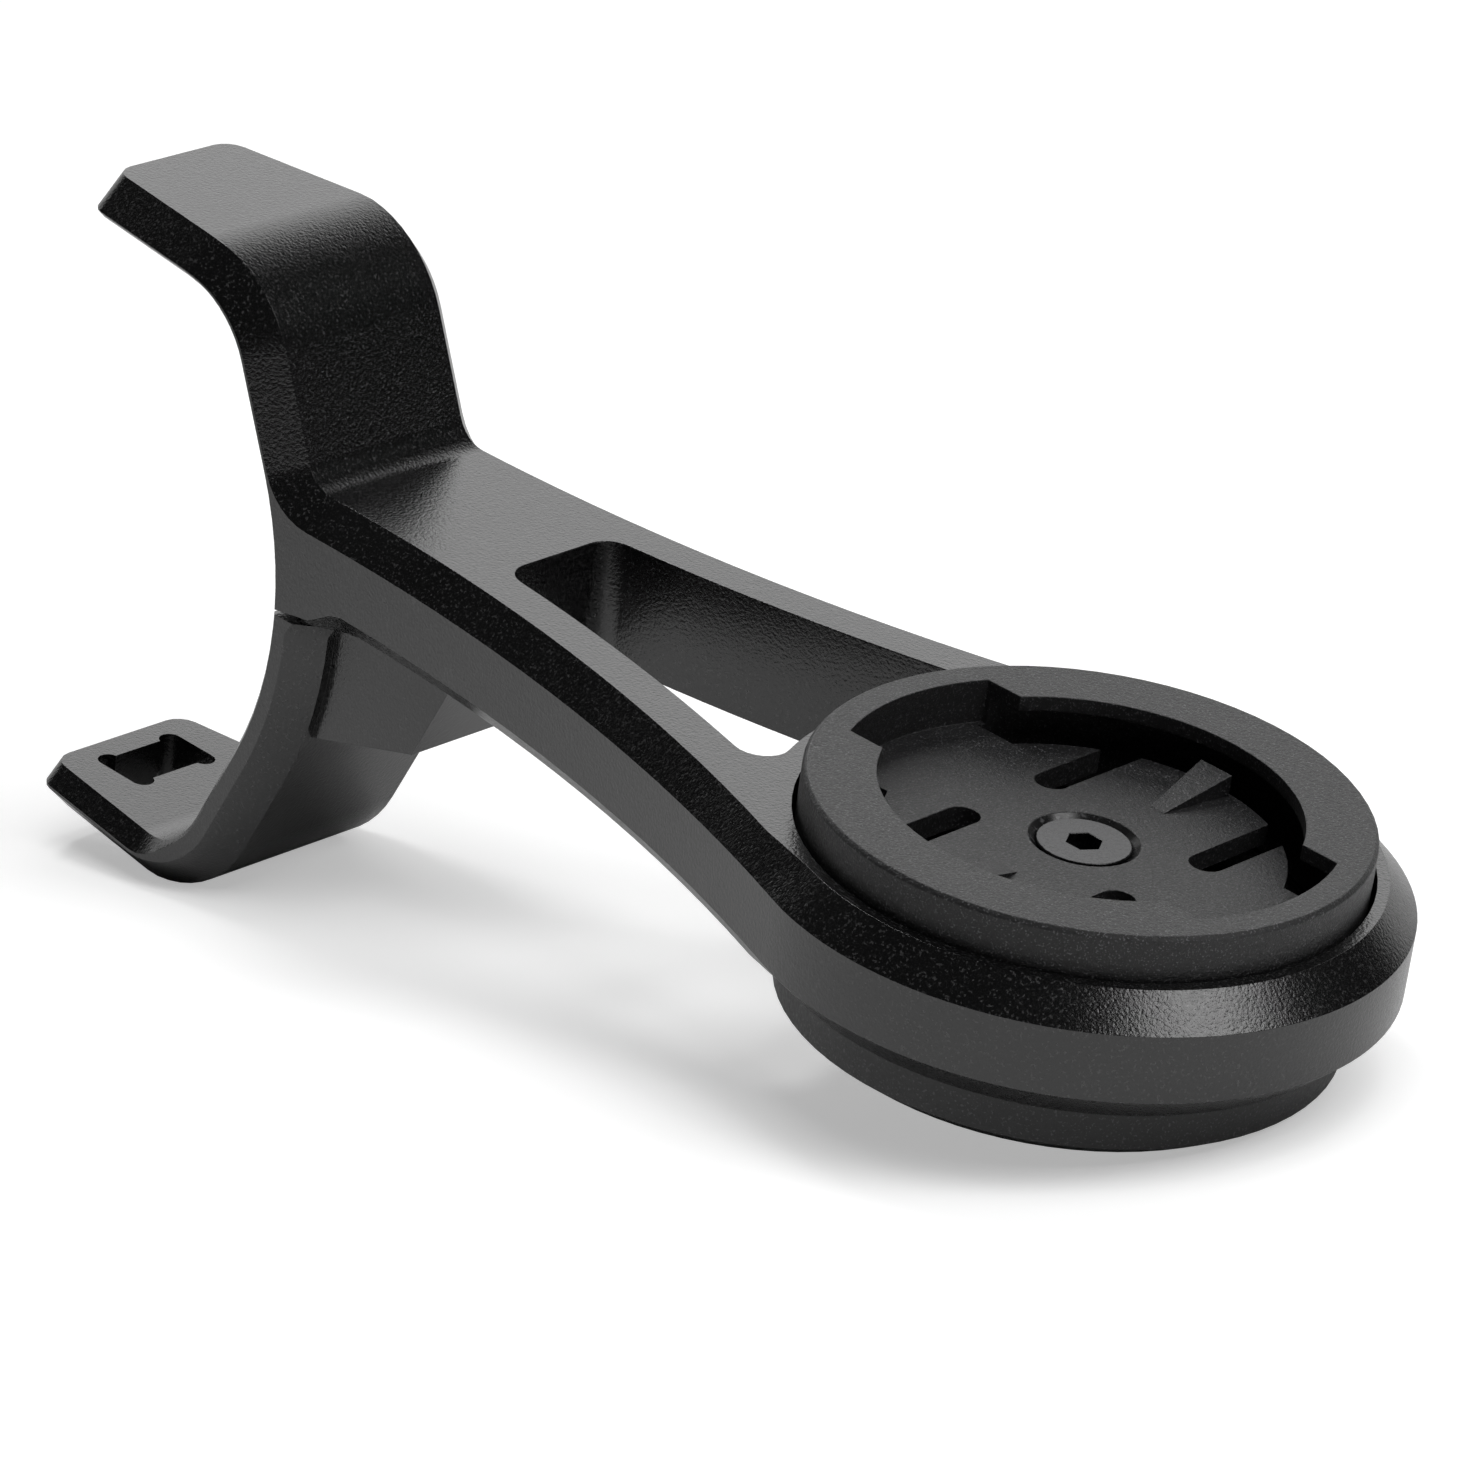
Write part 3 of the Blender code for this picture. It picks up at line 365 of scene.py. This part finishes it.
finish_piece("washer_skin", softened_copy("clamp_washer", WASHER_ROUNDING), "clamp",
             dark_steel, "clamp_washer")
for side_name in ("left", "right"):
    node = "locating_pin_" + side_name
    finish_piece("pin_" + side_name + "_skin", softened_copy(node, PIN_ROUNDING), "arm",
                 dark_steel, node)
finish_piece("nut_skin", softened_copy("centre_nut", NUT_ROUNDING), "arm", plated_steel,
             "centre_nut")


# ---------------------------------------------------------------- floor, lights and camera

ROOM_LIGHT = 0.025

# The paper, in metres; it is turned by some degrees to lie square to the camera.
SHEET_TURN = 44.4
SHEET_HALF = 2.5
FLOOR_HALF = 1.6
FLOOR_RIGHT = 0.3
BEND_STEPS = 8
FLOOR_GLOW = 0.42
FLOOR_MIRROR_GLOW = 0.0
WALL_MIRROR_GLOW = 0.75
WALL_HEIGHT = 1.9
WALL_BEND_R = 0.35
LAMP_AIM_HEIGHT = 0.02


def paper_sheet(name, left, right, start, steps, material):
    """A sheet drawn out of a level line by steps, turned to face the camera."""
    bm = bmesh.new()
    ends = [bm.verts.new((x, start, 0.0)) for x in (left, right)]
    chain = [bm.edges.new(ends)]
    for step in steps:
        result = bmesh.ops.extrude_edge_only(bm, edges=chain)
        chain = [item for item in result["geom"] if isinstance(item, bmesh.types.BMEdge)]
        moved = [item for item in result["geom"] if isinstance(item, bmesh.types.BMVert)]
        bmesh.ops.translate(bm, verts=moved, vec=step)
    for face in bm.faces:
        face.normal_update()
        if face.normal.z < -0.01 or face.normal.y > 0.01:
            face.normal_flip()
    bm.transform(Matrix.Rotation(math.radians(SHEET_TURN), 4, "Z"))
    mesh = bpy.data.meshes.new(name)
    bm.to_mesh(mesh)
    bm.free()
    mesh.shade_smooth()
    mesh.materials.append(material)
    paper = bpy.data.objects.new(name, mesh)
    bpy.context.scene.collection.objects.link(paper)


def bend_steps():
    """The steps of the wide bend from the floor up to the wall."""
    for k in range(BEND_STEPS):
        low = math.pi / 2 * k / BEND_STEPS
        high = math.pi / 2 * (k + 1) / BEND_STEPS
        forward = WALL_BEND_R * (math.sin(high) - math.sin(low))
        upward = WALL_BEND_R * (math.cos(low) - math.cos(high))
        yield (0.0, forward, upward)


def soft_lamp(name, direction, distance, size, power, mirrored=True):
    """A soft lamp at a distance along a direction from the mount, facing it."""
    data = bpy.data.lights.new(name, "AREA")
    data.shape = "RECTANGLE"
    data.size, data.size_y = size
    data.energy = power
    lamp = bpy.data.objects.new(name, data)
    aim = Vector((0.0, 0.0, LAMP_AIM_HEIGHT))
    away = Vector(direction).normalized()
    lamp.location = aim + away * distance
    lamp.rotation_mode = "QUATERNION"
    lamp.rotation_quaternion = away.to_track_quat("Z", "Y")
    lamp.visible_glossy = mirrored
    bpy.context.scene.collection.objects.link(lamp)


def world_light():
    """A dim even room round the paper, white where the camera looks past it."""
    world = bpy.data.worlds.new("studio_room")
    bpy.context.scene.world = world
    world.use_nodes = True
    tree = world.node_tree
    dim = tree.nodes["Background"]
    dim.inputs["Color"].default_value = (1.0, 1.0, 1.0, 1.0)
    dim.inputs["Strength"].default_value = ROOM_LIGHT
    white = tree.nodes.new("ShaderNodeBackground")
    white.inputs["Color"].default_value = (1.0, 1.0, 1.0, 1.0)
    white.inputs["Strength"].default_value = 1.0
    path = tree.nodes.new("ShaderNodeLightPath")
    choose = tree.nodes.new("ShaderNodeMixShader")
    tree.links.new(path.outputs["Is Camera Ray"], choose.inputs["Fac"])
    tree.links.new(dim.outputs["Background"], choose.inputs[1])
    tree.links.new(white.outputs["Background"], choose.inputs[2])
    tree.links.new(choose.outputs["Shader"], tree.nodes["World Output"].inputs["Surface"])


def camera():
    data = bpy.data.cameras.new("studio_camera")
    data.sensor_width = 36.0
    data.lens = 170.03
    data.clip_start = 0.01
    data.clip_end = 20.0
    place = bpy.data.objects.new("studio_camera", data)
    place.location = (0.29276, -0.293483, 0.145559)
    place.rotation_euler = (math.radians(72.6338), math.radians(2.7728), math.radians(43.5248))
    bpy.context.scene.collection.objects.link(place)
    bpy.context.scene.camera = place


paper_sheet("white_floor", -SHEET_HALF, FLOOR_RIGHT, -FLOOR_HALF, [(0.0, 2 * FLOOR_HALF, 0.0)],
            backdrop_material("white_floor_paper", FLOOR_GLOW, FLOOR_MIRROR_GLOW))
paper_sheet("white_wall", -SHEET_HALF, SHEET_HALF, FLOOR_HALF, [*bend_steps(), (0.0, 0.0, WALL_HEIGHT)],
            backdrop_material("white_wall_paper", 1.0, WALL_MIRROR_GLOW))
world_light()
soft_lamp("back_left_softbox", (-0.47, 0.67, 0.58), 0.9, (1.0, 0.5), 1.2)
soft_lamp("front_softbox", (0.77, 0.14, 0.63), 0.8, (0.45, 0.3), 1.6)
soft_lamp("top_softbox", (-0.37, 0.165, 0.91), 0.9, (0.2, 0.2), 1.5)
soft_lamp("paper_lamp", (0.45, -0.1, 1.0), 1.1, (0.9, 0.9), 8.6, mirrored=False)
camera()
bpy.context.scene.view_settings.view_transform = "Standard"
